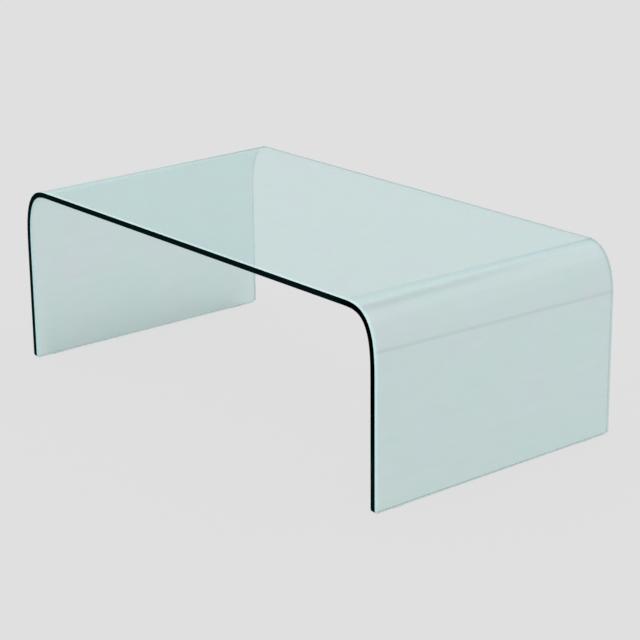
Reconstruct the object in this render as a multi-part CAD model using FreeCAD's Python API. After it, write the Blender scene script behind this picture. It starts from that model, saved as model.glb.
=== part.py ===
import FreeCAD, Part
import math
import os

# Waterfall coffee table: one sheet of float glass, bent down at both ends to make
# its own legs, standing on four clear pads.
# Millimetres. +X runs along the length, +Y from the front edge to the back edge,
# +Z up. The origin is on the floor, under the middle of the top.

# The whole table, pads included
LENGTH = 1100.0
WIDTH = 590.0
HEIGHT = 375.0

# The glass
GLASS_THICKNESS = 12.0
BEND_INNER_RADIUS = 65.0  # the underside's radius where the top turns into a leg
EDGE_ARRIS = 1.0  # the small 45 degree bevel ground along every edge
LEG_CORNER_RADIUS = 8.0  # the rounded lower corners of the legs

# The clear pads under the legs
PAD_LENGTH = 30.0
PAD_THICKNESS = 1.5
PAD_SIDE_MARGIN = 0.5  # from the pad's long side to the bevel of the glass
PAD_END_INSET = 40.0  # from the pad's outer end to the side of the leg
PAD_EDGE_ROUND = 0.4  # the softened edge that meets the floor

# What follows from those sizes
OUTER_RADIUS = BEND_INNER_RADIUS + GLASS_THICKNESS
HALF_LENGTH = LENGTH / 2
HALF_WIDTH = WIDTH / 2
PAD_WIDTH = GLASS_THICKNESS - 2 * EDGE_ARRIS - 2 * PAD_SIDE_MARGIN
LEG_MIDDLE_X = HALF_LENGTH - GLASS_THICKNESS / 2
PAD_MIDDLE_Y = HALF_WIDTH - PAD_END_INSET - PAD_LENGTH / 2

SIDES = {"left": -1, "right": 1}
ENDS = {"front": -1, "back": 1}

UP = FreeCAD.Vector(0, 0, 1)


def save(shape, name):
    """Writes one piece to its own STEP file."""
    shape.exportStep(os.path.join("parts", name + ".step"))


def at_front(x, z):
    """A point in the plane of the front edge."""
    return FreeCAD.Vector(x, -HALF_WIDTH, z)


def quarter_bend(side, radius):
    """The arc of one bend in the front plane, from its leg up to the top."""
    middle_x = side * (HALF_LENGTH - OUTER_RADIUS)
    middle_z = HEIGHT - OUTER_RADIUS
    diagonal = radius * math.sqrt(0.5)
    return Part.Arc(
        at_front(middle_x + side * radius, middle_z),
        at_front(middle_x + side * diagonal, middle_z + diagonal),
        at_front(middle_x, middle_z + radius),
    ).toShape()


def sheet_profile():
    """The closed front outline of the sheet: the outer line, the inner line and the two leg ends."""
    ends = []
    lines = []
    for radius in (OUTER_RADIUS, BEND_INNER_RADIUS):
        left = quarter_bend(-1, radius)
        right = quarter_bend(1, radius)
        left_foot = at_front(left.Vertexes[0].X, PAD_THICKNESS)
        right_foot = at_front(right.Vertexes[0].X, PAD_THICKNESS)
        lines += [
            Part.makeLine(left_foot, left.Vertexes[0].Point),
            left,
            Part.makeLine(left.Vertexes[-1].Point, right.Vertexes[-1].Point),
            right,
            Part.makeLine(right.Vertexes[0].Point, right_foot),
        ]
        ends.append((left_foot, right_foot))
    (outer_left, outer_right), (inner_left, inner_right) = ends
    lines.append(Part.makeLine(outer_left, inner_left))
    lines.append(Part.makeLine(outer_right, inner_right))
    return Part.Face(Part.Wire(Part.__sortEdges__(lines)))


def leg_corner_edges(sheet):
    """The four short edges through the glass at the lower corners of the legs."""
    found = []
    for edge in sheet.Edges:
        box = edge.BoundBox
        at_foot = box.ZMax < PAD_THICKNESS + EDGE_ARRIS
        along_length = box.YLength < EDGE_ARRIS
        if at_foot and along_length:
            found.append(edge)
    return found


def rim_edges(sheet):
    """Every edge where one of the two faces of the glass meets its rim.

    The edges through the glass and the lines across it where a bend begins aren't among them.
    """
    found = []
    for edge in sheet.Edges:
        straight = isinstance(edge.Curve, Part.Line)
        through_glass = straight and abs(edge.Length - GLASS_THICKNESS) < EDGE_ARRIS
        across_sheet = straight and edge.BoundBox.YLength > WIDTH - EDGE_ARRIS
        if not (through_glass or across_sheet):
            found.append(edge)
    return found


def bent_glass_sheet():
    """The one sheet that is both top and legs."""
    sheet = sheet_profile().extrude(FreeCAD.Vector(0, WIDTH, 0))
    sheet = sheet.makeFillet(LEG_CORNER_RADIUS, leg_corner_edges(sheet))
    return sheet.makeChamfer(EDGE_ARRIS, rim_edges(sheet))


def pad(side, end):
    """A clear round-ended pad stuck under one leg, near its front or back corner."""
    half_width = PAD_WIDTH / 2
    half_run = PAD_LENGTH / 2 - half_width
    middle = FreeCAD.Vector(side * LEG_MIDDLE_X, end * PAD_MIDDLE_Y, 0)

    def spot(x, y):
        return middle + FreeCAD.Vector(x, y, 0)

    outline = Part.Wire(
        [
            Part.makeLine(spot(half_width, -half_run), spot(half_width, half_run)),
            Part.Arc(
                spot(half_width, half_run), spot(0, half_run + half_width), spot(-half_width, half_run)
            ).toShape(),
            Part.makeLine(spot(-half_width, half_run), spot(-half_width, -half_run)),
            Part.Arc(
                spot(-half_width, -half_run), spot(0, -half_run - half_width), spot(half_width, -half_run)
            ).toShape(),
        ]
    )
    block = Part.Face(outline).extrude(UP * PAD_THICKNESS)
    floor_edges = [edge for edge in block.Edges if edge.BoundBox.ZMax < PAD_EDGE_ROUND]
    return block.makeFillet(PAD_EDGE_ROUND, floor_edges)


def main():
    os.makedirs("parts", exist_ok=True)
    save(bent_glass_sheet(), "bent_glass_sheet")
    for end_name, end in ENDS.items():
        for side_name, side in SIDES.items():
            save(pad(side, end), "pad_" + end_name + "_" + side_name)


main()
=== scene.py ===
import math

import bpy
from bpy.props import FloatProperty, FloatVectorProperty, IntProperty, PointerProperty
from mathutils import Matrix, Vector


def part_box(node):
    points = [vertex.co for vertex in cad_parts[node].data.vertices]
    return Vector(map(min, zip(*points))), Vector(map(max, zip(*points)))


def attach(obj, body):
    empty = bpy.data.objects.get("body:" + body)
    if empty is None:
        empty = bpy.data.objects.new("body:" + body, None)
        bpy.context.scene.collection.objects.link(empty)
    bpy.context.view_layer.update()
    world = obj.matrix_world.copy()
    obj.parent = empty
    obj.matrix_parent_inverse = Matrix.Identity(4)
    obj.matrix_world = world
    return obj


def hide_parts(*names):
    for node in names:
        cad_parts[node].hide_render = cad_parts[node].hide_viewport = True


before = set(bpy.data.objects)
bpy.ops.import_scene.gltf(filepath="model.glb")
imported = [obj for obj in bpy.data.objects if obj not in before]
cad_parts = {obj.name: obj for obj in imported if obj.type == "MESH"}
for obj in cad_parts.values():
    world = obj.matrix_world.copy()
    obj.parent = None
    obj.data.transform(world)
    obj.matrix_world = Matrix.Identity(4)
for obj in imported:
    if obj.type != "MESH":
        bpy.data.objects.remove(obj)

bl_info = {
    "name": "Waterfall coffee table",
    "version": (1, 0, 0),
    "blender": (4, 5, 0),
    "location": "View3D > Sidebar > Coffee Table",
    "description": "Builds a coffee table bent from one sheet of glass, and a studio around it",
    "category": "Object",
}

# What the frame says about the size and place of each piece, in metres
SHEET_NODE = "bent_glass_sheet"
PAD_NODES = ("pad_front_left", "pad_front_right", "pad_back_left", "pad_back_right")
SHEET_LOW, SHEET_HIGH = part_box(SHEET_NODE)
SHEET_SIZE = SHEET_HIGH - SHEET_LOW
PAD_LOW, PAD_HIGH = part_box(PAD_NODES[0])
PAD_SIZE = PAD_HIGH - PAD_LOW

BODY = "root"
QUARTER_TURN = math.pi / 2
MILLIMETRE = 0.001

# How far apart the nodes of a tree are laid out
COLUMN_STEP = 220
ROW_STEP = 200

# Noise lies around a half, and mostly within a quarter of it
NOISE_MIDDLE = 0.5
NOISE_SPREAD = 0.25

# Edges flatter than these shade smoothly
GLASS_SMOOTH_ANGLE = math.radians(30)
PAD_SMOOTH_ANGLE = math.radians(40)

# Patterns on the glass, in bumps for each metre: along the blank, across it and through it
SMEAR_BUMPS = 7.0
WIPE_BUMPS = (60.0, 12.0, 1.0)
POLISH_BUMPS = (40.0, 40.0, 4000.0)
GREASE_BUMPS = 25.0
WAVE_BUMPS = (14.0, 3.0, 0.0)

# How sharply the smears stand out, how dark the wiping is and how deep the waves are
SMEAR_CONTRAST = 2.2
WIPE_DARKNESS = 0.025
WAVE_DEPTH = 0.02 * MILLIMETRE

# Roughness of the polished rim, and how much the lines on it, the lines on the arrises and
# grease anywhere add
RIM_ROUGHNESS = 0.03
RIM_LINES = 0.08
ARRIS_LINES = 0.2
GREASE_ROUGHNESS = 0.03

# The share of light that ground glass scatters at its surface; the painted highlight strip along the
# front edge takes the same share
SCATTERED_SHARE = 0.75

# Where the painted reflection lines on the right bend fade, as a share of the width from the middle
# towards the back
BEND_START_LINE_FADE = (-0.1, 0.35)
UPPER_MARK_FADE = (0.5, -0.2)

# Roughness of the plastic where it is clear, and how much its haze adds
PLASTIC_ROUGHNESS = 0.15
HAZE_ROUGHNESS = 0.25

# The plastic's haze and its dimpled skin: bumps for each metre, how sharply the haze stands out
# and how deep the dimples are
HAZE_BUMPS = 600.0
HAZE_CONTRAST = 1.25
SKIN_BUMPS = 2500.0
SKIN_DEPTH = 0.05 * MILLIMETRE

# Where the less even patch of floor fades in: outwards from the left leg, and inwards from the
# patch's front and back sides
PATCH_FADE_AT_LEG = (-15 * MILLIMETRE, 10 * MILLIMETRE)
PATCH_FADE_AT_FRONT = (-10 * MILLIMETRE, 50 * MILLIMETRE)
PATCH_FADE_AT_BACK = (0.0, 80 * MILLIMETRE)


# ---------------------------------------------------------------- node trees


class Field:
    """One output in a node tree. Python's arithmetic on it makes Math nodes."""

    def __init__(self, socket):
        self.socket = socket

    def through(self, operation, *others):
        node = self.socket.id_data.nodes.new("ShaderNodeMath")
        node.operation = operation
        for place, value in zip(node.inputs, (self, *others)):
            feed(place, value)
        return Field(node.outputs["Value"])

    def __add__(self, other):
        return self.through("ADD", other)

    def __sub__(self, other):
        return self.through("SUBTRACT", other)

    def __mul__(self, other):
        return self.through("MULTIPLY", other)

    def __truediv__(self, other):
        return self.through("DIVIDE", other)

    def __gt__(self, other):
        return self.through("GREATER_THAN", other)

    def __abs__(self):
        return self.through("ABSOLUTE")

    def sign(self):
        return self.through("SIGN")

    def ramp(self, start, end, highest=1.0, smooth=False):
        """Rises from 0 at start to highest at end, and stays level outside them."""
        node = self.socket.id_data.nodes.new("ShaderNodeMapRange")
        node.clamp = True
        node.interpolation_type = "SMOOTHSTEP" if smooth else "LINEAR"
        values = {"Value": self, "From Min": start, "From Max": end, "To Max": highest}
        for name, value in values.items():
            feed(node.inputs[name], value)
        return Field(node.outputs["Result"])


def feed(place, value):
    """Links a field or a socket to an input, or writes a plain value on it."""
    if isinstance(value, Field):
        value = value.socket
    if isinstance(value, bpy.types.NodeSocket):
        place.id_data.links.new(value, place)
    else:
        place.default_value = value


def add_node(tree, kind, settings=None, **inputs):
    """Adds a node, sets its options, and feeds the inputs named with _ for a space."""
    node = tree.nodes.new(kind)
    for name, value in (settings or {}).items():
        setattr(node, name, value)
    for name, value in inputs.items():
        feed(node.inputs[name.replace("_", " ")], value)
    return node


def vector_of(tree, x, y, z):
    """Three fields joined into a vector."""
    return add_node(tree, "ShaderNodeCombineXYZ", X=x, Y=y, Z=z).outputs["Vector"]


def parts_of(tree, vector):
    """A vector's x, y and z as fields."""
    node = add_node(tree, "ShaderNodeSeparateXYZ", Vector=vector)
    return [Field(node.outputs[name]) for name in "XYZ"]


def line_up(tree):
    """Lays the nodes out in columns, each to the right of what feeds it."""
    column = {node: 0 for node in tree.nodes}
    for _ in tree.nodes:
        for link in tree.links:
            column[link.to_node] = max(column[link.to_node], column[link.from_node] + 1)
    filled = {}
    for node in tree.nodes:
        row = filled.get(column[node], 0)
        node.location = (COLUMN_STEP * column[node], -ROW_STEP * row)
        filled[column[node]] = row + 1


def geometry_tree(name, inputs):
    """An empty geometry node tree with named inputs, and its inputs as sockets by name."""
    tree = bpy.data.node_groups.new(name, "GeometryNodeTree")
    tree.interface.new_socket("Geometry", in_out="OUTPUT", socket_type="NodeSocketGeometry")
    for label, kind, unit in inputs:
        socket = tree.interface.new_socket(label, in_out="INPUT", socket_type=kind)
        if unit:
            socket.subtype = unit
    entry = tree.nodes.new("NodeGroupInput")
    return tree, {label: entry.outputs[label] for label, _, _ in inputs}


def end_tree(tree, geometry, material):
    """Ends a geometry tree: real mesh only, with its material."""
    real = add_node(tree, "GeometryNodeRealizeInstances", Geometry=geometry)
    dressed = add_node(
        tree, "GeometryNodeSetMaterial", Geometry=real.outputs["Geometry"], Material=material
    )
    leave = tree.nodes.new("NodeGroupOutput")
    feed(leave.inputs["Geometry"], dressed.outputs["Geometry"])
    line_up(tree)


def smooth_by_angle(tree, mesh, angle):
    """Smooth shading that stays sharp at edges steeper than the angle."""
    smooth = add_node(tree, "GeometryNodeSetShadeSmooth", Geometry=mesh)
    bend = add_node(tree, "GeometryNodeInputMeshEdgeAngle")
    gentle = Field(bend.outputs["Unsigned Angle"]).through("LESS_THAN", angle)
    edges = add_node(tree, "GeometryNodeSetShadeSmooth", {"domain": "EDGE"}, Geometry=smooth.outputs[0])
    feed(edges.inputs["Shade Smooth"], gentle)
    return edges.outputs["Geometry"]


def build_from_tree(name, tree, values, mesh):
    """Makes a piece: runs the tree on the mesh and keeps the result as a plain mesh."""
    piece = bpy.data.objects.new(name, mesh)
    bpy.context.scene.collection.objects.link(piece)
    modifier = piece.modifiers.new(tree.name, "NODES")
    modifier.node_group = tree
    for item in tree.interface.items_tree:
        if item.in_out == "INPUT" and item.name in values:
            modifier[item.identifier] = values[item.name]
    depsgraph = bpy.context.evaluated_depsgraph_get()
    result = bpy.data.meshes.new_from_object(
        piece.evaluated_get(depsgraph), preserve_all_data_layers=True, depsgraph=depsgraph
    )
    piece.modifiers.clear()
    piece.data = result
    result.name = name
    bpy.data.meshes.remove(mesh)
    return piece


# ---------------------------------------------------------------- glass sheet


def sheet_tree():
    """One flat blank with rounded corners and an arris all round, bent down at both ends.

    The mesh is first a lattice: x counts the stations along the blank from its middle, y is
    -1 or 1 for its two long sides, and z is 1.5 or -1.5 on a face and 0.5 or -0.5 on the rim.
    """
    tree, size = geometry_tree(
        "bent glass sheet",
        (
            ("Length", "NodeSocketFloat", "DISTANCE"),
            ("Width", "NodeSocketFloat", "DISTANCE"),
            ("Height", "NodeSocketFloat", "DISTANCE"),
            ("Foot Height", "NodeSocketFloat", "DISTANCE"),
            ("Thickness", "NodeSocketFloat", "DISTANCE"),
            ("Bend Across", "NodeSocketFloat", "DISTANCE"),
            ("Bend Drop", "NodeSocketFloat", "DISTANCE"),
            ("Front Fullness", "NodeSocketFloat", None),
            ("Back Fullness", "NodeSocketFloat", None),
            ("Arris", "NodeSocketFloat", "DISTANCE"),
            ("Corner Radius", "NodeSocketFloat", "DISTANCE"),
            ("Bend Margin", "NodeSocketFloat", "DISTANCE"),
            ("Bend Steps", "NodeSocketInt", None),
            ("Corner Steps", "NodeSocketInt", None),
            ("Glass", "NodeSocketMaterial", None),
        ),
    )
    field = {name: Field(socket) for name, socket in size.items() if name != "Glass"}
    thickness, arris = field["Thickness"], field["Arris"]
    corner, margin = field["Corner Radius"], field["Bend Margin"]

    def bend_at(long_side):
        """The rule of the bends on one long side, -1 for the front and 1 for the back.

        The middle of the glass follows a superellipse, which starts and ends gently. A fuller
        one reaches further each way, so that all pass through the same point halfway round.
        """
        share = long_side / 2 + 0.5
        fullness = field["Front Fullness"] + (field["Back Fullness"] - field["Front Fullness"]) * share
        halfway = (fullness.through("POWER", -1.0) * -math.log(2)).through("EXPONENT")
        reach = (halfway * -1.0 + 1.0).through("POWER", -1.0) * (1 - math.sqrt(0.5))
        across, drop = field["Bend Across"] * reach, field["Bend Drop"] * reach
        flat_half = field["Length"] / 2 - thickness / 2 - across
        foot = field["Height"] - thickness / 2 - drop
        return fullness, across, drop, flat_half, (across + drop) * (QUARTER_TURN / 2), foot

    # Stations from the middle of the blank outwards
    bend_starts = 2
    bend_ends = field["Bend Steps"] + bend_starts
    leg_starts = bend_ends + 1
    corner_starts = leg_starts + 1
    last = corner_starts + field["Corner Steps"]
    stations = last * 2 + 1

    # The lattice: two faces and the rim that goes right round between them
    face = add_node(
        tree, "GeometryNodeMeshGrid", Size_X=last * 2, Size_Y=2.0, Vertices_X=stations, Vertices_Y=2
    )
    face = face.outputs["Mesh"]
    top = add_node(tree, "GeometryNodeTransform", Geometry=face, Translation=(0, 0, 1.5))
    under = add_node(tree, "GeometryNodeTransform", Geometry=face, Translation=(0, 0, -1.5))
    under = add_node(tree, "GeometryNodeFlipFaces", Mesh=under.outputs["Geometry"])
    round_trip = stations * 2
    rim = add_node(
        tree,
        "GeometryNodeMeshGrid",
        Size_X=round_trip,
        Size_Y=3.0,
        Vertices_X=round_trip + 1,
        Vertices_Y=4,
    )
    along, across, _ = parts_of(tree, add_node(tree, "GeometryNodeInputPosition").outputs[0])
    walked = (along + stations).through("ROUND").through("MODULO", round_trip)
    way_back = (walked + 1).through("MULTIPLY_ADD", -1.0, round_trip)
    station = walked.through("MINIMUM", way_back) - last
    long_side = (walked > stations - 0.5).through("MULTIPLY_ADD", -2.0, 1.0)
    rim = add_node(
        tree,
        "GeometryNodeSetPosition",
        Geometry=rim.outputs["Mesh"],
        Position=vector_of(tree, station, long_side, across * -1.0),
    )
    rim = rim.outputs["Geometry"]
    _, _, row = parts_of(tree, add_node(tree, "GeometryNodeInputPosition").outputs[0])
    for name, share in (("rim", row.through("COMPARE", 0.0, 0.5)), ("arris", abs(row) > 0.5)):
        stored = add_node(
            tree,
            "GeometryNodeStoreNamedAttribute",
            {"data_type": "FLOAT", "domain": "FACE"},
            Geometry=rim,
            Name=name,
        )
        feed(stored.inputs["Value"], share)
        rim = stored.outputs["Geometry"]
    joined = tree.nodes.new("GeometryNodeJoinGeometry")
    for part in (rim, under.outputs["Mesh"], top.outputs["Geometry"]):
        tree.links.new(part, joined.inputs["Geometry"])
    welded = add_node(
        tree, "GeometryNodeMergeByDistance", Geometry=joined.outputs["Geometry"], Distance=0.1
    )

    # From the lattice to the flat blank, in metres
    step, long_side, level = parts_of(tree, add_node(tree, "GeometryNodeInputPosition").outputs[0])
    _, _, _, flat_half, bend_length, bend_foot = bend_at(long_side)
    leg_length = bend_foot - field["Foot Height"]
    outwards = abs(step)
    at_face = abs(level) > 1.0
    inset = arris * at_face
    half_depth = thickness / 2 - arris + inset
    reach = (
        outwards.ramp(0.0, 1.0, flat_half - margin)
        + outwards.ramp(1.0, bend_starts, margin)
        + outwards.ramp(bend_starts, bend_ends, bend_length)
        + outwards.ramp(bend_ends, leg_starts, margin)
        + outwards.ramp(leg_starts, corner_starts, leg_length - margin - corner)
    )
    turn = outwards.ramp(corner_starts, last, QUARTER_TURN)
    reach = reach + (corner - inset) * turn.through("SINE")
    half_width = field["Width"] / 2 - corner + (corner - inset) * turn.through("COSINE")
    flat = add_node(
        tree,
        "GeometryNodeSetPosition",
        Geometry=welded.outputs["Geometry"],
        Position=vector_of(tree, step.sign() * reach, long_side * half_width, level.sign() * half_depth),
    )
    flat = add_node(
        tree,
        "GeometryNodeStoreNamedAttribute",
        {"data_type": "FLOAT_VECTOR", "domain": "POINT"},
        Geometry=flat.outputs["Geometry"],
        Name="blank",
    )
    feed(flat.inputs["Value"], add_node(tree, "GeometryNodeInputPosition").outputs[0])

    # From the flat blank to the bent sheet, whose faces lie half a thickness to each side of the
    # middle of the glass
    reach, across, depth = parts_of(tree, add_node(tree, "GeometryNodeInputPosition").outputs[0])
    fullness, bend_across, bend_drop, flat_half, bend_length, bend_foot = bend_at(across.sign())
    outwards = abs(reach)
    bent = (outwards - flat_half).ramp(0.0, bend_length, QUARTER_TURN)
    sine = bent.through("SINE")
    cosine = bent.through("COSINE").through("MAXIMUM", 0.0)
    both = sine.through("POWER", fullness) + cosine.through("POWER", fullness)
    swell = both.through("POWER", fullness.through("POWER", -1.0) * -1.0)
    lean = sine.through("POWER", fullness - 1.0) / bend_across
    rise = cosine.through("POWER", fullness - 1.0) / bend_drop
    slant = (lean * lean + rise * rise).through("SQRT")
    sideways = outwards.through("MINIMUM", flat_half) + bend_across * swell * sine + depth * lean / slant
    hanging = (outwards - flat_half - bend_length).through("MAXIMUM", 0.0)
    upwards = bend_foot + bend_drop * swell * cosine + depth * rise / slant - hanging
    sheet = add_node(
        tree,
        "GeometryNodeSetPosition",
        Geometry=flat.outputs["Geometry"],
        Position=vector_of(tree, reach.sign() * sideways, across, upwards),
    )
    end_tree(tree, smooth_by_angle(tree, sheet.outputs["Geometry"], GLASS_SMOOTH_ANGLE), size["Glass"])
    return tree


def blend_colours(tree, share, first, second, way="MIX"):
    """A colour that goes from first to its blend with second as share goes from 0 to 1."""
    mix = add_node(tree, "ShaderNodeMix", {"data_type": "RGBA", "blend_type": way}, Factor=share)
    colours = [place for place in mix.inputs if place.type == "RGBA"]
    feed(colours[0], first)
    feed(colours[1], second)
    return next(place for place in mix.outputs if place.type == "RGBA")


def noise(tree, place, scale=1.0, detail=2.0, contrast=1.0):
    """Noise from 0 to 1, where scale is the bumps in each unit of place."""
    texture = add_node(tree, "ShaderNodeTexNoise", Vector=place, Scale=scale, Detail=detail)
    reach = NOISE_SPREAD / contrast
    return Field(texture.outputs["Fac"]).ramp(NOISE_MIDDLE - reach, NOISE_MIDDLE + reach)


def stretched(tree, place, bumps):
    """A place to read noise at, with its own number of bumps each way."""
    return vector_of(tree, *(part * count for part, count in zip(place, bumps)))


def soft_line(place, middle, half_width, depth):
    """A soft line: depth in its middle, fading to nothing half_width away."""
    return abs(place - middle).ramp(half_width, 0.0, depth, smooth=True)


def painted_bend_reflections(tree, settings, across, depth):
    """How dark the painted reflection lines are on the outside of the right bend.

    A dark line where the bend begins fades towards the front, a wider line beside it fades towards
    the back, and both that one and the lower one run a little askew.
    """
    outwards, _, upwards = parts_of(tree, add_node(tree, "ShaderNodeTexCoord").outputs["Object"])
    to_back = across / settings.width
    bend_start_line = soft_line(
        outwards,
        settings.bend_start_line_place,
        settings.bend_start_line_width / 2,
        to_back.ramp(*BEND_START_LINE_FADE, settings.bend_start_line_depth),
    )
    fading = to_back.ramp(*UPPER_MARK_FADE)
    upper = soft_line(
        outwards,
        to_back * settings.upper_mark_skew + settings.upper_mark_place,
        settings.upper_mark_width / 2,
        fading * settings.upper_mark_depth,
    )
    lower = soft_line(
        upwards,
        to_back * settings.lower_mark_skew + settings.lower_mark_height,
        settings.lower_mark_width / 2,
        settings.lower_mark_depth,
    )
    on_bend = (outwards > settings.length / 4) * (depth > 0.0)
    near_top = upwards > settings.lower_mark_height + settings.lower_mark_width
    return ((bend_start_line + upper) * near_top + lower) * on_bend


def film_colour(tree, settings, blank, place):
    """Colour of the faces: wide soft smears, finer wiping, and the painted reflection lines on the right
    bend.
    """
    _, across, depth = place
    _, _, upwards = parts_of(tree, add_node(tree, "ShaderNodeTexCoord").outputs["Object"])
    rise = 1.0 - settings.low_film
    high = upwards.ramp(settings.foot_height, settings.height / 2, rise) + settings.low_film
    smears = noise(tree, blank, SMEAR_BUMPS, detail=4.0, contrast=SMEAR_CONTRAST) * high
    film = blend_colours(tree, smears, (*settings.film_low, 1), (*settings.film_high, 1))
    wiped = noise(tree, stretched(tree, place, WIPE_BUMPS), detail=3.0)
    # Darker where the wiping is, and along the painted reflection lines on the right bend
    shade = (wiped * WIPE_DARKNESS + painted_bend_reflections(tree, settings, across, depth)) * -1.0 + 1.0
    return blend_colours(tree, 1.0, film, vector_of(tree, shade, shade, shade), way="MULTIPLY")


def float_glass(settings):
    """Clear float glass: pale face on, almost black edge on, with a faint film of smears.

    The edges are polished, but from outside the rim is painted almost black, a painted shade in place of
    the darkness of so much glass behind it. The arrises along them are ground and pale, and a narrow
    strip of the faces along the front edge carries a painted highlight in the same pale colour. From
    within the glass the back edge and the ends of the legs have a little painted shade, so that the far
    edges look grey through it.
    """
    material = bpy.data.materials.new("clear float glass")
    material.use_nodes = True
    tree = material.node_tree
    shader = tree.nodes["Principled BSDF"]
    blank = add_node(tree, "ShaderNodeAttribute", {"attribute_name": "blank"}).outputs["Vector"]
    place = parts_of(tree, blank)
    _, across, _ = place
    rim = Field(add_node(tree, "ShaderNodeAttribute", {"attribute_name": "rim"}).outputs["Fac"])
    arris = Field(add_node(tree, "ShaderNodeAttribute", {"attribute_name": "arris"}).outputs["Fac"])
    inside = Field(tree.nodes.new("ShaderNodeNewGeometry").outputs["Backfacing"])
    outwards, _, upwards = parts_of(tree, add_node(tree, "ShaderNodeTexCoord").outputs["Object"])
    on_top = upwards.ramp(settings.height - settings.bend_drop, settings.height)
    half_width = settings.width / 2

    # Ground glass on the arrises, and a painted highlight: a pale strip that fades inwards from the
    # front edge
    painted_highlight_strip = across.ramp(
        settings.painted_highlight_width - half_width, settings.arris - half_width, smooth=True
    )
    painted_highlight_strength = on_top * (settings.painted_highlight_on_top - settings.painted_highlight_on_legs) + settings.painted_highlight_on_legs
    # ground holds both the ground arrises and the painted highlight strip
    ground = arris.through("MAXIMUM", painted_highlight_strip * (rim * -1.0 + 1.0) * painted_highlight_strength)
    face_colour = film_colour(tree, settings, blank, place)
    satin_and_highlight = blend_colours(tree, ground, face_colour, (*settings.arris_and_highlight_colour, 1))
    feed(shader.inputs["Base Color"], blend_colours(tree, rim, satin_and_highlight, (*settings.rim_painted_colour, 1)))
    feed(shader.inputs["Transmission Weight"], (inside - 1.0) * ground * SCATTERED_SHARE + 1.0)

    # The rim: painted dark from outside, as a dark metal, in place of the darkness of so much glass
    # behind it, and given less painted shade from within
    # Painted shade from within: at the ends of the legs, and along the back edge, more on the top than
    # on the legs
    corner_top = settings.foot_height + settings.corner_radius
    corner_middle = settings.foot_height + settings.corner_radius / 2
    foot = upwards.ramp(corner_top, corner_middle, settings.foot_shade)
    at_back = across.ramp(half_width - 2 * settings.arris, half_width - settings.arris)
    far = on_top * (settings.far_top_shade - settings.far_leg_shade) + settings.far_leg_shade
    within = foot.through("MAXIMUM", at_back * far)
    dark = rim * (inside * (within - 1.0) + 1.0)
    feed(shader.inputs["Metallic"], dark)

    # Seen aslant the rim gleams faintly, but past the right bend its gleam is painted out, so that it
    # stays dull
    past_bend = outwards.ramp(settings.bend_start_line_place - settings.bend_across, settings.bend_start_line_place)
    dull = past_bend * upwards.ramp(settings.height / 4, settings.height / 2)
    lost = dull * settings.rim_gleam + (1.0 - settings.rim_gleam)
    gleam = dark * lost * -1.0 + 1.0
    feed(shader.inputs["Specular Tint"], vector_of(tree, gleam, gleam, gleam))

    # Ground arrises, fine polishing lines round the rim, and breath and fingers on the faces
    lines = noise(tree, stretched(tree, place, POLISH_BUMPS))
    grease = noise(tree, blank, GREASE_BUMPS, detail=4.0).ramp(NOISE_MIDDLE, 1.0, GREASE_ROUGHNESS)
    on_arris = arris * (lines * ARRIS_LINES + settings.arris_roughness)
    on_rim = rim * (lines * RIM_LINES + RIM_ROUGHNESS)
    feed(shader.inputs["Roughness"], on_arris + on_rim + grease)
    waves = noise(tree, stretched(tree, place, WAVE_BUMPS), detail=1.0)
    bump = add_node(tree, "ShaderNodeBump", Height=waves, Strength=1.0, Distance=WAVE_DEPTH)
    feed(shader.inputs["Normal"], bump.outputs["Normal"])

    # The body of the glass
    feed(shader.inputs["IOR"], settings.refractive_index)
    body = add_node(
        tree, "ShaderNodeVolumeAbsorption", Color=(*settings.tint, 1), Density=settings.tint_density
    )
    feed(tree.nodes["Material Output"].inputs["Volume"], body.outputs["Volume"])
    line_up(tree)
    return material


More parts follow.
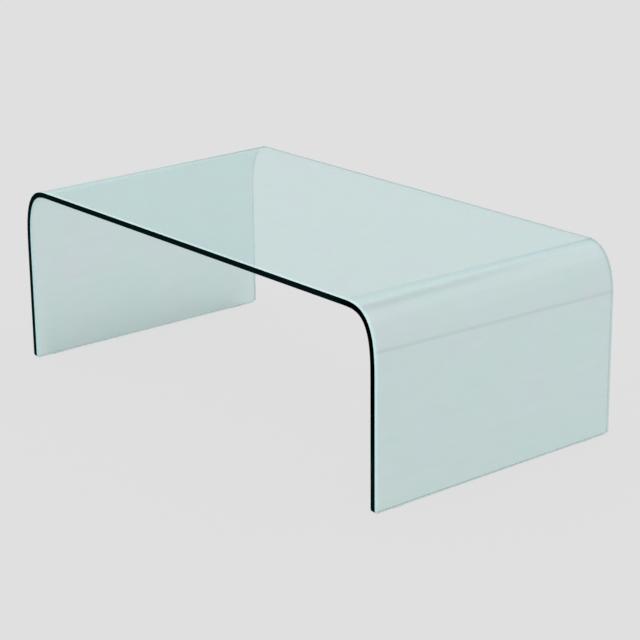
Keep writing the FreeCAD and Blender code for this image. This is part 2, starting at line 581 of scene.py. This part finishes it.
class GlassSheetSettings(bpy.types.PropertyGroup):
    length: FloatProperty(
        name="Length",
        description="Length of the table, over the outsides of its legs",
        default=SHEET_SIZE.x,
        unit="LENGTH",
    )
    width: FloatProperty(
        name="Width",
        description="Width of the sheet, from its front edge to its back edge",
        default=SHEET_SIZE.y,
        unit="LENGTH",
    )
    height: FloatProperty(
        name="Height",
        description="Height of the top's upper face above the floor",
        default=SHEET_HIGH.z,
        unit="LENGTH",
    )
    foot_height: FloatProperty(
        name="Foot height",
        description="Height of the ends of the legs above the floor, which the pads take up",
        default=SHEET_LOW.z,
        unit="LENGTH",
    )
    thickness: FloatProperty(
        name="Thickness", description="Thickness of the glass", default=12 * MILLIMETRE, unit="LENGTH"
    )
    bend_across: FloatProperty(
        name="Bend across",
        description="How far the middle of the glass would go sideways in a plain elliptical bend",
        default=54 * MILLIMETRE,
        unit="LENGTH",
    )
    bend_drop: FloatProperty(
        name="Bend drop",
        description="How far the middle of the glass would go down in a plain elliptical bend",
        default=88 * MILLIMETRE,
        unit="LENGTH",
    )
    arris: FloatProperty(
        name="Arris",
        description="Width of the small bevel along every edge",
        default=0.5 * MILLIMETRE,
        unit="LENGTH",
    )
    corner_radius: FloatProperty(
        name="Corner radius",
        description="Radius of the lower corners of the legs",
        default=8 * MILLIMETRE,
        unit="LENGTH",
    )
    front_fullness: FloatProperty(
        name="Front fullness",
        description="How gently the bends start and end at the front edge: 2 is a plain ellipse",
        default=3.15,
        min=2.0,
        max=4.0,
    )
    back_fullness: FloatProperty(
        name="Back fullness",
        description="How gently the bends start and end at the back edge: 2 is a plain ellipse",
        default=2.3,
        min=2.0,
        max=4.0,
    )
    bend_steps: IntProperty(name="Bend steps", description="Faces round each bend", default=96)
    corner_steps: IntProperty(name="Corner steps", description="Faces round each corner", default=12)
    refractive_index: FloatProperty(
        name="Refractive index", description="Refractive index of the glass", default=1.52
    )
    tint: FloatVectorProperty(
        name="Tint",
        description="What colour of light the glass lets through best",
        default=(0.0, 0.59, 0.595),
        subtype="COLOR",
        min=0.0,
        max=1.0,
    )
    tint_density: FloatProperty(
        name="Tint density", description="How fast the tint deepens, per metre of glass", default=20.8
    )
    film_low: FloatVectorProperty(
        name="Film, greenish",
        description="Colour of the film on the faces where it looks greenish",
        default=(0.955, 1.0, 0.975),
        subtype="COLOR",
        min=0.0,
        max=1.0,
    )
    film_high: FloatVectorProperty(
        name="Film, greyish",
        description="Colour of the film on the faces where it looks greyish",
        default=(1.0, 0.97, 0.99),
        subtype="COLOR",
        min=0.0,
        max=1.0,
    )
    low_film: FloatProperty(
        name="Low film",
        description="How much of the greyish film is left at the feet",
        default=0.3,
        min=0.0,
        max=1.0,
    )
    # Near black: from outside the rim is painted dark, in place of the darkness of the glass behind it
    rim_painted_colour: FloatVectorProperty(
        name="Rim colour",
        description="Colour of the polished rim",
        default=(0.002, 0.008, 0.008),
        subtype="COLOR",
        min=0.0,
        max=1.0,
    )
    # Past the right bend the rim's gleam is painted out
    rim_gleam: FloatProperty(
        name="Rim gleam",
        description="How much the rim gleams when it is seen aslant; it is dull past the right bend",
        default=0.52,
        min=0.0,
        max=1.0,
    )
    # Pale colour of the ground arrises, and of the painted highlight strip along the front edge
    arris_and_highlight_colour: FloatVectorProperty(
        name="Arris colour",
        description="Colour of the ground arrises and of the light strip along the front edge",
        default=(0.66, 0.98, 1.0),
        subtype="COLOR",
        min=0.0,
        max=1.0,
    )
    arris_roughness: FloatProperty(
        name="Arris roughness",
        description="Roughness of the ground arrises",
        default=0.35,
        min=0.0,
        max=1.0,
    )
    # The painted highlight strip along the front edge: its width, and how light it is on the top and on
    # the legs
    painted_highlight_width: FloatProperty(
        name="Fringe width",
        description="Width of the faint light strip along the front edge of the faces",
        default=10 * MILLIMETRE,
        unit="LENGTH",
    )
    painted_highlight_on_top: FloatProperty(
        name="Fringe on top",
        description="How light that strip is on the top",
        default=0.62,
        min=0.0,
        max=1.0,
    )
    painted_highlight_on_legs: FloatProperty(
        name="Fringe on legs",
        description="How light that strip is on the legs",
        default=1.0,
        min=0.0,
        max=1.0,
    )
    # Painted shade on the rim seen from within the glass: the back edge of the top and of the legs, and
    # the ends of the legs
    far_top_shade: FloatProperty(
        name="Far top shade",
        description="How dark the back edge of the top is from within the glass, where 1 is black",
        default=0.22,
        min=0.0,
        max=1.0,
    )
    far_leg_shade: FloatProperty(
        name="Far leg shade", description="The same for the legs", default=0.05, min=0.0, max=1.0
    )
    foot_shade: FloatProperty(
        name="Foot shade",
        description="How much darker the ends of the legs look through the glass",
        default=0.35,
        min=0.0,
        max=1.0,
    )
    # The painted reflection lines on the right bend: a dark line where the bend begins, a wider upper
    # line beside it, and a lower line
    bend_start_line_place: FloatProperty(
        name="Crease place",
        description="How far the crease where the bend begins is from the middle of the table",
        default=490.5 * MILLIMETRE,
        unit="LENGTH",
    )
    bend_start_line_width: FloatProperty(
        name="Crease width", description="Width of the crease", default=13 * MILLIMETRE, unit="LENGTH"
    )
    bend_start_line_depth: FloatProperty(
        name="Crease depth", description="How dark the crease is", default=0.13, min=0.0, max=1.0
    )
    upper_mark_place: FloatProperty(
        name="Upper mark place",
        description="How far the upper line on the bend is from the middle of the table",
        default=510.5 * MILLIMETRE,
        unit="LENGTH",
    )
    upper_mark_skew: FloatProperty(
        name="Upper mark skew",
        description="How much further out the upper line is at the back than at the front",
        default=-4 * MILLIMETRE,
        unit="LENGTH",
    )
    upper_mark_width: FloatProperty(
        name="Upper mark width",
        description="Width of the upper line",
        default=24 * MILLIMETRE,
        unit="LENGTH",
    )
    upper_mark_depth: FloatProperty(
        name="Upper mark depth",
        description="How dark the upper line is",
        default=0.24,
        min=0.0,
        max=1.0,
    )
    lower_mark_height: FloatProperty(
        name="Lower mark height",
        description="Height of the middle of the lower line",
        default=290.5 * MILLIMETRE,
        unit="LENGTH",
    )
    lower_mark_skew: FloatProperty(
        name="Lower mark skew",
        description="How much higher the lower line is at the back than at the front",
        default=-12 * MILLIMETRE,
        unit="LENGTH",
    )
    lower_mark_width: FloatProperty(
        name="Lower mark width",
        description="Width of the lower line",
        default=12 * MILLIMETRE,
        unit="LENGTH",
    )
    lower_mark_depth: FloatProperty(
        name="Lower mark depth",
        description="How dark the lower line is",
        default=0.17,
        min=0.0,
        max=1.0,
    )


class BendGlassSheet(bpy.types.Operator):
    """Makes the one sheet of glass that is top and both legs"""

    bl_idname = "coffee_table.bend_glass_sheet"
    bl_label = "Bend glass sheet"

    def execute(self, context):
        settings = context.scene.coffee_table_glass
        values = {
            "Length": settings.length,
            "Width": settings.width,
            "Height": settings.height,
            "Foot Height": settings.foot_height,
            "Thickness": settings.thickness,
            "Bend Across": settings.bend_across,
            "Bend Drop": settings.bend_drop,
            "Front Fullness": settings.front_fullness,
            "Back Fullness": settings.back_fullness,
            "Arris": settings.arris,
            "Corner Radius": settings.corner_radius,
            "Bend Margin": settings.arris,
            "Bend Steps": settings.bend_steps,
            "Corner Steps": settings.corner_steps,
            "Glass": float_glass(settings),
        }
        start = bpy.data.meshes.new("start of the glass sheet")
        sheet = build_from_tree("glass_sheet", sheet_tree(), values, start)
        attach(sheet, BODY)
        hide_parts(SHEET_NODE)
        return {"FINISHED"}


# ---------------------------------------------------------------- pads


def pads_tree():
    """A round-ended pad with softened edges, put at each point of the mesh it runs on."""
    tree, size = geometry_tree(
        "clear pads",
        (
            ("Middles", "NodeSocketGeometry", None),
            ("Length", "NodeSocketFloat", "DISTANCE"),
            ("Width", "NodeSocketFloat", "DISTANCE"),
            ("Thickness", "NodeSocketFloat", "DISTANCE"),
            ("Lower Edge", "NodeSocketFloat", "DISTANCE"),
            ("Upper Edge", "NodeSocketFloat", "DISTANCE"),
            ("Edge Steps", "NodeSocketInt", None),
            ("Round Steps", "NodeSocketInt", None),
            ("Plastic", "NodeSocketMaterial", None),
        ),
    )
    steps = Field(size["Edge Steps"])
    lower, upper = Field(size["Lower Edge"]), Field(size["Upper Edge"])
    rows = steps * 2 + 1
    drum = add_node(
        tree,
        "GeometryNodeMeshCylinder",
        Vertices=size["Round Steps"],
        Side_Segments=rows,
        Radius=1.0,
        Depth=rows,
    )
    x, y, z = parts_of(tree, add_node(tree, "GeometryNodeInputPosition").outputs[0])
    row = z + rows / 2
    low_turn = row.ramp(0.0, steps, QUARTER_TURN)
    high_turn = row.ramp(steps + 1, rows, QUARTER_TURN)
    radius = (
        Field(size["Width"]) / 2
        - lower
        + lower * low_turn.through("SINE")
        - upper
        + upper * high_turn.through("COSINE")
    )
    height = (
        lower
        - lower * low_turn.through("COSINE")
        + row.ramp(steps, steps + 1, Field(size["Thickness"]) - lower - upper)
        + upper * high_turn.through("SINE")
    )
    half_run = (Field(size["Length"]) - Field(size["Width"])) / 2
    steepness = 100.0
    end = (y * steepness).through("MAXIMUM", -1.0).through("MINIMUM", 1.0)
    pad = add_node(
        tree,
        "GeometryNodeSetPosition",
        Geometry=drum.outputs["Mesh"],
        Position=vector_of(tree, x * radius, y * radius + end * half_run, height),
    )
    smooth = smooth_by_angle(tree, pad.outputs["Geometry"], PAD_SMOOTH_ANGLE)
    pads = add_node(tree, "GeometryNodeInstanceOnPoints", Points=size["Middles"], Instance=smooth)
    end_tree(tree, pads.outputs["Instances"], size["Plastic"])
    return tree


def clear_plastic(settings):
    """Soft clear plastic with a faint haze and a fine dimpled skin."""
    material = bpy.data.materials.new("clear soft plastic")
    material.use_nodes = True
    tree = material.node_tree
    shader = tree.nodes["Principled BSDF"]
    feed(shader.inputs["Base Color"], (*settings.colour, 1))
    feed(shader.inputs["Transmission Weight"], 1.0)
    feed(shader.inputs["IOR"], settings.refractive_index)
    place = add_node(tree, "ShaderNodeTexCoord").outputs["Object"]
    haze = noise(tree, place, HAZE_BUMPS, detail=3.0, contrast=HAZE_CONTRAST)
    feed(shader.inputs["Roughness"], haze * HAZE_ROUGHNESS + PLASTIC_ROUGHNESS)
    skin = add_node(tree, "ShaderNodeTexNoise", Vector=place, Scale=SKIN_BUMPS, Detail=1.0)
    bump = add_node(
        tree, "ShaderNodeBump", Height=skin.outputs["Fac"], Strength=0.3, Distance=SKIN_DEPTH
    )
    feed(shader.inputs["Normal"], bump.outputs["Normal"])
    line_up(tree)
    return material


class PadSettings(bpy.types.PropertyGroup):
    length: FloatProperty(
        name="Length",
        description="Length of a pad over its round ends",
        default=PAD_SIZE.y,
        unit="LENGTH",
    )
    width: FloatProperty(
        name="Width", description="Width of a pad, across the glass", default=PAD_SIZE.x, unit="LENGTH"
    )
    thickness: FloatProperty(
        name="Thickness", description="Thickness of a pad", default=PAD_SIZE.z, unit="LENGTH"
    )
    glue_gap: FloatProperty(
        name="Glue gap",
        description="Film between the pad and the glass",
        default=0.03 * MILLIMETRE,
        unit="LENGTH",
    )
    lower_edge: FloatProperty(
        name="Lower edge",
        description="Rounding of the edge that meets the floor",
        default=0.4 * MILLIMETRE,
        unit="LENGTH",
    )
    upper_edge: FloatProperty(
        name="Upper edge",
        description="Rounding of the edge that meets the glass",
        default=0.12 * MILLIMETRE,
        unit="LENGTH",
    )
    edge_steps: IntProperty(name="Edge steps", description="Faces round each softened edge", default=5)
    round_steps: IntProperty(name="Round steps", description="Faces round a whole pad", default=48)
    colour: FloatVectorProperty(
        name="Colour",
        description="Colour of the clear plastic",
        default=(0.93, 0.95, 0.94),
        subtype="COLOR",
        min=0.0,
        max=1.0,
    )
    refractive_index: FloatProperty(
        name="Refractive index", description="Refractive index of the plastic", default=1.43
    )


class StickOnPads(bpy.types.Operator):
    """Makes the four clear pads under the ends of the legs"""

    bl_idname = "coffee_table.stick_on_pads"
    bl_label = "Stick on pads"

    def execute(self, context):
        settings = context.scene.coffee_table_pads
        middles = bpy.data.meshes.new("middles of the pads")
        corners = [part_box(name) for name in PAD_NODES]
        spots = [((low.x + high.x) / 2, (low.y + high.y) / 2, low.z) for low, high in corners]
        middles.from_pydata(spots, [], [])
        values = {
            "Length": settings.length,
            "Width": settings.width,
            "Thickness": settings.thickness - settings.glue_gap,
            "Lower Edge": settings.lower_edge,
            "Upper Edge": settings.upper_edge,
            "Edge Steps": settings.edge_steps,
            "Round Steps": settings.round_steps,
            "Plastic": clear_plastic(settings),
        }
        pads = build_from_tree("clear_pads", pads_tree(), values, middles)
        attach(pads, BODY)
        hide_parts(*PAD_NODES)
        return {"FINISHED"}


# ---------------------------------------------------------------- studio


class StudioSettings(bpy.types.PropertyGroup):
    floor_colour: FloatVectorProperty(
        name="Floor colour",
        description="Colour of the plain floor",
        default=(0.653, 0.653, 0.653),
        subtype="COLOR",
        min=0.0,
        max=1.0,
    )
    floor_size: FloatProperty(
        name="Floor size", description="Length of one side of the floor", default=60.0, unit="LENGTH"
    )
    floor_light: FloatProperty(
        name="Floor light", description="Brightness of the light on the open floor", default=1.141
    )
    floor_evenness: FloatProperty(
        name="Floor evenness",
        description="How much of its shadows the floor loses: 0 keeps them all, 1 has none",
        default=0.945,
        min=0.0,
        max=1.0,
    )
    left_evenness: FloatProperty(
        name="Left evenness",
        description="The same beyond the left leg, where the light falls off",
        default=0.38,
        min=0.0,
        max=1.0,
    )
    front_lean: FloatProperty(
        name="Front lean",
        description="How far the front side of that patch goes back for each metre away from the leg",
        default=0.605,
    )
    back_lean: FloatProperty(name="Back lean", description="The same for its back side", default=0.77)
    horizon_level: FloatProperty(
        name="Horizon level",
        description="Brightness of the walls where they meet the floor",
        default=0.745,
    )
    wall_level: FloatProperty(
        name="Wall level", description="Brightness of the walls above the horizon", default=0.935
    )
    wall_rise: FloatProperty(
        name="Wall rise",
        description="Angle above the horizon at which the walls are fully bright",
        default=math.radians(18),
        subtype="ANGLE",
    )
    lamp_level: FloatProperty(
        name="Lamp level", description="Brightness of the wide soft lamp overhead", default=1.22
    )
    lamp_start: FloatProperty(
        name="Lamp start",
        description="Angle above the horizon at which the lamp overhead begins",
        default=math.radians(24),
        subtype="ANGLE",
    )
    lamp_full: FloatProperty(
        name="Lamp full",
        description="Angle above the horizon at which the lamp overhead is fully bright",
        default=math.radians(38),
        subtype="ANGLE",
    )
    lens: FloatProperty(name="Lens", description="Focal length in millimetres", default=115.80)
    shift_x: FloatProperty(name="Shift", description="Sideways shift of the lens", default=0.03125)
    camera_place: FloatVectorProperty(
        name="Camera place",
        description="Where the camera stands",
        default=(3.0210, -2.4558, 1.4454),
        subtype="TRANSLATION",
    )
    camera_heading: FloatProperty(
        name="Camera heading",
        description="Turn of the camera about the vertical, from looking along +Y",
        default=math.radians(51.023),
        subtype="ANGLE",
    )
    camera_dip: FloatProperty(
        name="Camera dip",
        description="Angle of the camera below the horizon",
        default=math.radians(18.330),
        subtype="ANGLE",
    )
    camera_roll: FloatProperty(
        name="Camera roll",
        description="Turn of the camera about its own line of sight",
        default=math.radians(-0.722),
        subtype="ANGLE",
    )


def floor_evenness(tree, settings):
    """How much of its shadows each spot of the floor loses: less in a patch beyond the left leg."""
    along, across, _ = parts_of(tree, add_node(tree, "ShaderNodeTexCoord").outputs["Object"])
    away = along * -1.0 - SHEET_SIZE.x / 2
    from_front = across - away * settings.front_lean + SHEET_SIZE.y / 2
    from_back = away * settings.back_lean - across + SHEET_SIZE.y / 2
    after_front = from_front.ramp(*PATCH_FADE_AT_FRONT, smooth=True)
    before_back = from_back.ramp(*PATCH_FADE_AT_BACK, smooth=True)
    patch = away.ramp(*PATCH_FADE_AT_LEG, smooth=True) * after_front * before_back
    return patch * (settings.left_evenness - settings.floor_evenness) + settings.floor_evenness


def lay_floor(settings):
    """A plain pale floor, just under the pads, that isn't there when it is seen from below."""
    half = settings.floor_size / 2
    level = -0.2 * MILLIMETRE
    mesh = bpy.data.meshes.new("floor")
    mesh.from_pydata(
        [(-half, -half, level), (half, -half, level), (half, half, level), (-half, half, level)],
        [],
        [(0, 1, 2, 3)],
    )
    floor = bpy.data.objects.new("floor", mesh)
    bpy.context.scene.collection.objects.link(floor)
    material = bpy.data.materials.new("pale studio floor")
    material.use_nodes = True
    tree = material.node_tree
    shader = tree.nodes["Principled BSDF"]
    feed(shader.inputs["Base Color"], (*settings.floor_colour, 1))
    feed(shader.inputs["Roughness"], 1.0)
    feed(shader.inputs["Specular IOR Level"], 0.0)
    glow = add_node(
        tree, "ShaderNodeEmission", Color=(*settings.floor_colour, 1), Strength=settings.floor_light
    )
    path = tree.nodes.new("ShaderNodeLightPath")
    seen = Field(path.outputs["Is Camera Ray"])
    for kind in ("Is Glossy Ray", "Is Transmission Ray"):
        seen = seen.through("MAXIMUM", Field(path.outputs[kind]))
    blend = tree.nodes.new("ShaderNodeMixShader")
    feed(blend.inputs[0], seen * floor_evenness(tree, settings))
    feed(blend.inputs[1], shader.outputs["BSDF"])
    feed(blend.inputs[2], glow.outputs["Emission"])
    open_below = tree.nodes.new("ShaderNodeMixShader")
    feed(open_below.inputs[0], tree.nodes.new("ShaderNodeNewGeometry").outputs["Backfacing"])
    feed(open_below.inputs[1], blend.outputs["Shader"])
    feed(open_below.inputs[2], tree.nodes.new("ShaderNodeBsdfTransparent").outputs["BSDF"])
    feed(tree.nodes["Material Output"].inputs["Surface"], open_below.outputs["Shader"])
    line_up(tree)
    mesh.materials.append(material)


def light_room(settings):
    """Plain pale walls that light the table from all round, brighter above the horizon."""
    world = bpy.data.worlds.new("pale studio")
    bpy.context.scene.world = world
    world.use_nodes = True
    tree = world.node_tree
    direction = add_node(tree, "ShaderNodeTexCoord").outputs["Generated"]
    _, _, upwards = parts_of(tree, direction)
    rise = upwards.ramp(
        0.0, math.sin(settings.wall_rise), settings.wall_level - settings.horizon_level, smooth=True
    )
    lamp = upwards.ramp(
        math.sin(settings.lamp_start),
        math.sin(settings.lamp_full),
        settings.lamp_level - settings.wall_level,
        smooth=True,
    )
    shader = tree.nodes["Background"]
    feed(shader.inputs["Color"], (1, 1, 1, 1))
    feed(shader.inputs["Strength"], rise + lamp + settings.horizon_level)


def place_camera(settings):
    """The camera that the main picture is taken with."""
    lens = bpy.data.cameras.new("camera")
    lens.sensor_width = 36.0
    lens.lens = settings.lens
    lens.shift_x = settings.shift_x
    camera = bpy.data.objects.new("camera", lens)
    bpy.context.scene.collection.objects.link(camera)
    turn = (
        Matrix.Rotation(settings.camera_heading, 4, "Z")
        @ Matrix.Rotation(QUARTER_TURN - settings.camera_dip, 4, "X")
        @ Matrix.Rotation(settings.camera_roll, 4, "Z")
    )
    camera.matrix_world = Matrix.Translation(Vector(settings.camera_place)) @ turn
    bpy.context.scene.camera = camera


class SetUpStudio(bpy.types.Operator):
    """Makes the floor, the light and the camera"""

    bl_idname = "coffee_table.set_up_studio"
    bl_label = "Set up studio"

    def execute(self, context):
        settings = context.scene.coffee_table_studio
        place_camera(settings)
        lay_floor(settings)
        light_room(settings)
        scene = context.scene
        scene.view_settings.view_transform = "Standard"
        scene.cycles.max_bounces = 32
        scene.cycles.transmission_bounces = 32
        scene.cycles.glossy_bounces = 16
        return {"FINISHED"}


# ---------------------------------------------------------------- add-on


class CoffeeTablePanel(bpy.types.Panel):
    """Lists the steps that build the table, and their sizes and colours"""

    bl_idname = "VIEW3D_PT_coffee_table"
    bl_label = "Waterfall coffee table"
    bl_space_type = "VIEW_3D"
    bl_region_type = "UI"
    bl_category = "Coffee Table"

    def draw(self, context):
        for operator, settings in (
            (SetUpStudio, context.scene.coffee_table_studio),
            (BendGlassSheet, context.scene.coffee_table_glass),
            (StickOnPads, context.scene.coffee_table_pads),
        ):
            box = self.layout.box()
            box.operator(operator.bl_idname)
            for name in settings.__annotations__:
                box.prop(settings, name)


CLASSES = (
    GlassSheetSettings,
    PadSettings,
    StudioSettings,
    BendGlassSheet,
    StickOnPads,
    SetUpStudio,
    CoffeeTablePanel,
)


def register():
    for made in CLASSES:
        bpy.utils.register_class(made)
    bpy.types.Scene.coffee_table_glass = PointerProperty(type=GlassSheetSettings)
    bpy.types.Scene.coffee_table_pads = PointerProperty(type=PadSettings)
    bpy.types.Scene.coffee_table_studio = PointerProperty(type=StudioSettings)


def unregister():
    del bpy.types.Scene.coffee_table_studio
    del bpy.types.Scene.coffee_table_pads
    del bpy.types.Scene.coffee_table_glass
    for made in reversed(CLASSES):
        bpy.utils.unregister_class(made)


def main():
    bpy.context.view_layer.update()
    register()
    bpy.ops.coffee_table.set_up_studio()
    bpy.ops.coffee_table.bend_glass_sheet()
    bpy.ops.coffee_table.stick_on_pads()


if __name__ == "__main__":
    main()
